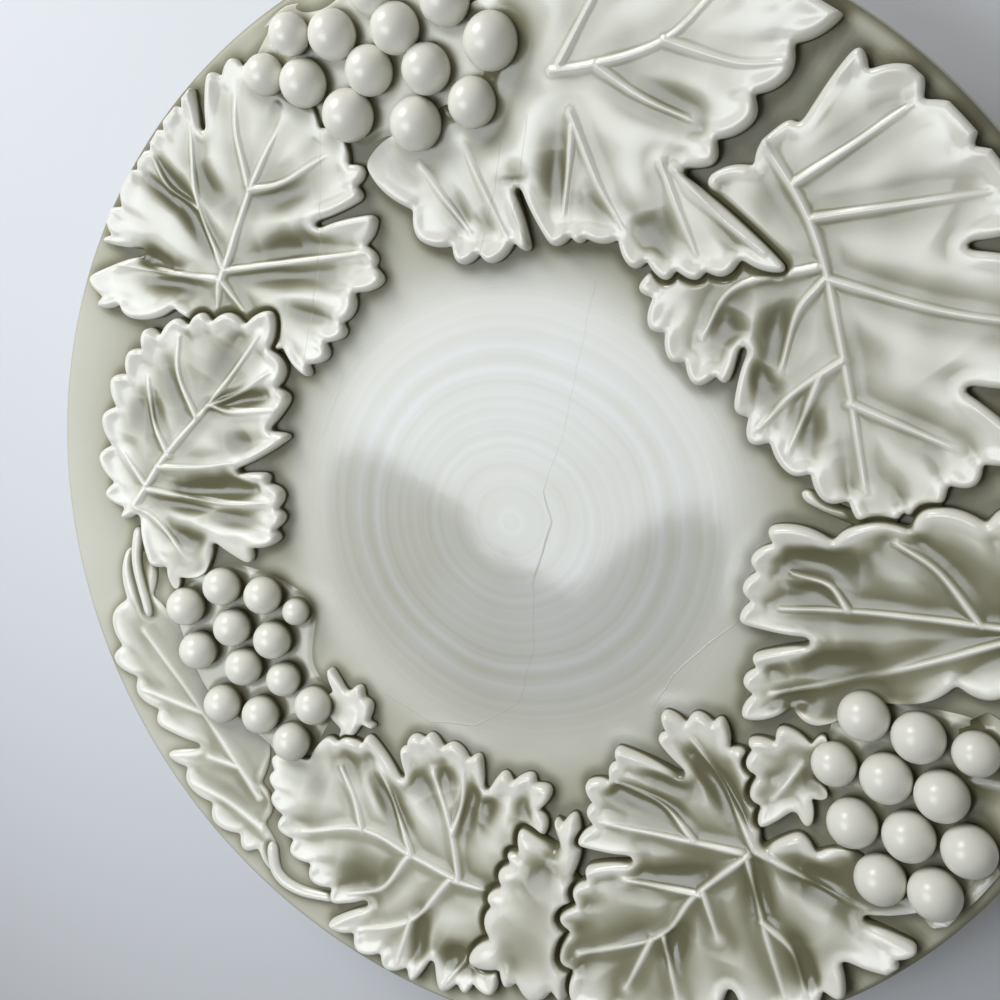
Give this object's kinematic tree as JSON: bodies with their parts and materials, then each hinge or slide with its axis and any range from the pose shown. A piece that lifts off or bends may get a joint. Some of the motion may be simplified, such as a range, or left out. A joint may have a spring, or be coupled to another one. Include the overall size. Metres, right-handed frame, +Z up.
{
  "type": "dessert plate",
  "caption": "Round glazed dessert plate with a plain shallow well, a foot ring and a rim wreath of vine leaves and grapes in relief.",
  "frame": {"origin": "on the table under the centre of the plate, at the plane of the foot ring", "axes": "+Z up out of the well; +X to the right and +Y away from the viewer as the picture looks at the wreath"},
  "size_m": [0.21, 0.21, 0.0278],
  "materials": {
    "body_glaze": "glossy pale grey-white glaze",
    "leaf_glaze": "glossy ivory glaze, olive where it pools",
    "grape_glaze": "glossy ivory glaze"
  },
  "bodies": {
    "root": {"plate_body": "body_glaze", "leaf_upper_left": "leaf_glaze", "leaf_left": "leaf_glaze", "leaf_bottom_left": "leaf_glaze", "leaflet_bottom": "leaf_glaze", "leaf_bottom_right": "leaf_glaze", "leaf_right": "leaf_glaze", "leaflet_right": "leaf_glaze", "leaf_upper_right": "leaf_glaze", "leaf_top": "leaf_glaze", "leaflet_left": "leaf_glaze", "leaf_edge_left": "leaf_glaze", "leaf_edge_right": "leaf_glaze", "stalk_left": "leaf_glaze", "stalk_lower_left": "leaf_glaze", "stalk_right": "leaf_glaze", "grapes_left": "grape_glaze", "grapes_top": "grape_glaze", "grapes_right": "grape_glaze"}
  },
  "joints": []
}
